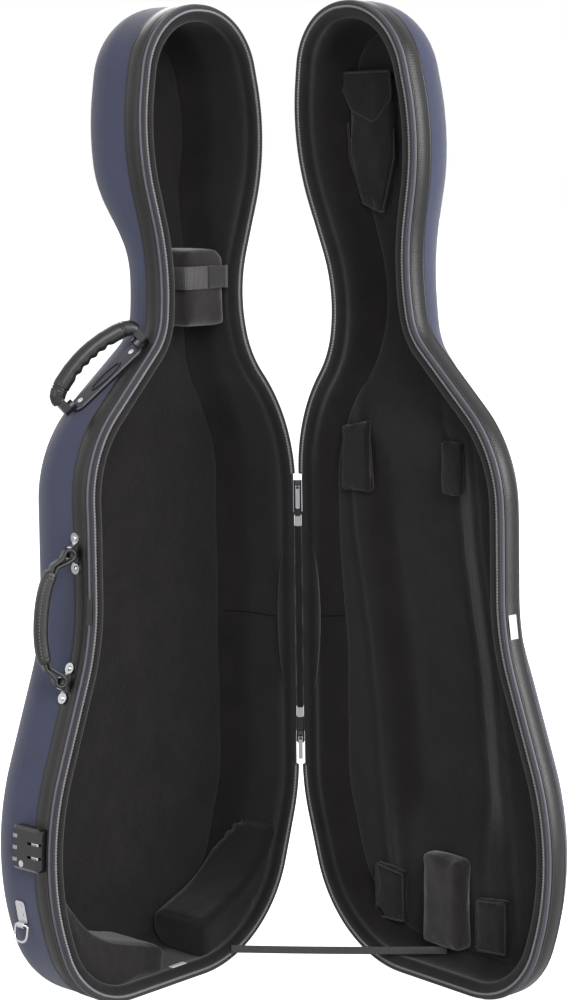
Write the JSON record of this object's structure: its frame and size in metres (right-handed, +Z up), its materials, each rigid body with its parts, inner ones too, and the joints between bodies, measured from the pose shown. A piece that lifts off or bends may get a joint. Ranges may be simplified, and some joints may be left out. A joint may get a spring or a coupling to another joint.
{
  "type": "cello case",
  "caption": "Hard-sided zipped cello case standing open, with padded base, hinged lid, carrying handle, side handle, combination lock and shoulder-strap ring.",
  "frame": {"origin": "on the floor, at the foot of the upright hinge axis between the two halves", "axes": "+Z up along the hinge axis; the base half lies along -X from the hinge and opens towards -Y; its back faces +Y"},
  "size_m": [0.5863, 0.6517, 1.3293],
  "materials": {
    "black_band": "ribbed edge band",
    "black_grip": "soft moulded",
    "chrome": "polished",
    "grey_piping": "shiny piping",
    "hook_tape": "hook-and-loop",
    "label_cloth": "blank label",
    "leather": "black grained",
    "lock_black": "gloss",
    "navy_cloth": "fine twill nylon over the shell",
    "plush": "brushed plush lining",
    "satin_metal": "satin plate",
    "spine_black": "satin",
    "steel": "plain",
    "tag_cloth": "blank woven tag",
    "webbing": "ribbed webbing",
    "zip_cloth": "zip tape",
    "zip_coil": "nylon coil"
  },
  "bodies": {
    "base": {"base_floor": "plush", "base_label": "label_cloth", "base_lining": "plush", "base_piping": "grey_piping", "base_rim_roll": "plush", "base_shell": "navy_cloth", "base_trim_band": "black_band", "base_zip_tape": "zip_cloth", "base_zip_teeth": "zip_coil", "check_strap": "webbing", "corner_block_free_side": "plush", "corner_block_hinge_side": "plush", "d_ring_plate": "chrome", "handle_pins": "steel", "handle_plate": "satin_metal", "handle_screws": "steel", "hinge_leaf_base": "steel", "hinge_pin": "steel", "lock_bars": "chrome", "lock_body": "lock_black", "neck_rest": "plush", "neck_strap": "webbing", "side_rivets": "chrome", "side_staples": "chrome", "woven_tag": "tag_cloth"},
    "lid": {"lid_floor": "plush", "lid_label": "label_cloth", "lid_lining": "plush", "lid_pad": "plush", "lid_piping": "grey_piping", "lid_rim_roll": "plush", "lid_shell": "navy_cloth", "lid_trim_band": "black_band", "lid_zip_tape": "zip_cloth", "lid_zip_teeth": "zip_coil", "hinge_leaf_lid": "steel", "bow_holder_left": "plush", "bow_holder_right": "plush", "pocket_left": "plush", "pocket_right": "plush", "pouch": "plush"},
    "spine": {"spine_cover": "spine_black", "hinge_blocks": "chrome", "zip_bars": "grey_piping", "zip_sliders": "chrome"},
    "carrying_grip": {"handle_grip": "black_grip", "handle_caps": "black_grip"},
    "side_handle": {"side_strap": "leather", "side_grip": "leather"},
    "neck_tab": {"neck_strap_tab": "hook_tape"},
    "dial_1": {"lock_dial_1": "steel"},
    "dial_2": {"lock_dial_2": "steel"},
    "dial_3": {"lock_dial_3": "steel"},
    "lock_key": {"lock_cylinder": "chrome"},
    "d_ring_bail": {"d_ring": "chrome"},
    "pull_lower": {"zip_pull_lower": "chrome"},
    "pull_upper": {"zip_pull_upper": "chrome"},
    "flap": {"pouch_flap": "plush"}
  },
  "joints": [
    {"name": "lid_hinge", "type": "hinge", "parent": "base", "child": "lid", "pos_m": [0, 0, 0.4765], "axis": [0, 0, 1], "range_deg": [-84, 0], "deforming": ["check_strap"]},
    {"name": "spine_turn", "type": "hinge", "parent": "base", "child": "spine", "pos_m": [0, 0, 0.4765], "axis": [0, 0, 1], "range_deg": [-42, 0]},
    {"name": "carrying_grip_swing", "type": "hinge", "parent": "base", "child": "carrying_grip", "pos_m": [-0.30933, 0.06221, 0.84245], "axis": [0.6717, -0.3486, 0.6537], "range_deg": [-45, 55]},
    {"name": "side_handle_swing", "type": "hinge", "parent": "base", "child": "side_handle", "pos_m": [-0.41926, 0.031, 0.53221], "axis": [0.1271, 0, 0.9919], "range_deg": [-20, 45]},
    {"name": "neck_tab_open", "type": "hinge", "parent": "base", "child": "neck_tab", "pos_m": [-0.112, 0.0218, 0.964], "axis": [0, 0, 1], "range_deg": [0, 100]},
    {"name": "dial_1_turn", "type": "hinge", "parent": "base", "child": "dial_1", "pos_m": [-0.48697, 0.0572, 0.21995], "axis": [0.0695, 0, 0.9976], "continuous": true},
    {"name": "dial_2_turn", "type": "hinge", "parent": "base", "child": "dial_2", "pos_m": [-0.48588, 0.0572, 0.23551], "axis": [0.0695, 0, 0.9976], "continuous": true},
    {"name": "dial_3_turn", "type": "hinge", "parent": "base", "child": "dial_3", "pos_m": [-0.4848, 0.0572, 0.25108], "axis": [0.0695, 0, 0.9976], "continuous": true},
    {"name": "lock_key_turn", "type": "hinge", "parent": "base", "child": "lock_key", "pos_m": [-0.49386, 0.044, 0.21602], "axis": [-0.9976, 0, 0.0695], "range_deg": [0, 90]},
    {"name": "d_ring_swing", "type": "hinge", "parent": "base", "child": "d_ring_bail", "pos_m": [-0.4731, 0.07, 0.12251], "axis": [0, 1, 0], "range_deg": [-16, 110]},
    {"name": "pull_lower_swing", "type": "hinge", "parent": "spine", "child": "pull_lower", "pos_m": [-0.0049, -0.00442, 0.302], "axis": [-0.6691, 0.7431, 0], "range_deg": [0, 75]},
    {"name": "pull_upper_swing", "type": "hinge", "parent": "spine", "child": "pull_upper", "pos_m": [-0.0049, -0.00442, 0.664], "axis": [-0.6691, 0.7431, 0], "range_deg": [0, 75]},
    {"name": "pouch_flap_open", "type": "hinge", "parent": "lid", "child": "flap", "pos_m": [0.02671, -0.11341, 1.24], "axis": [0.1045, 0.9945, 0], "range_deg": [0, 45]}
  ],
  "couplings": [
    {"joint": "spine_turn", "follows": "lid_hinge", "ratio": 0.5}
  ]
}
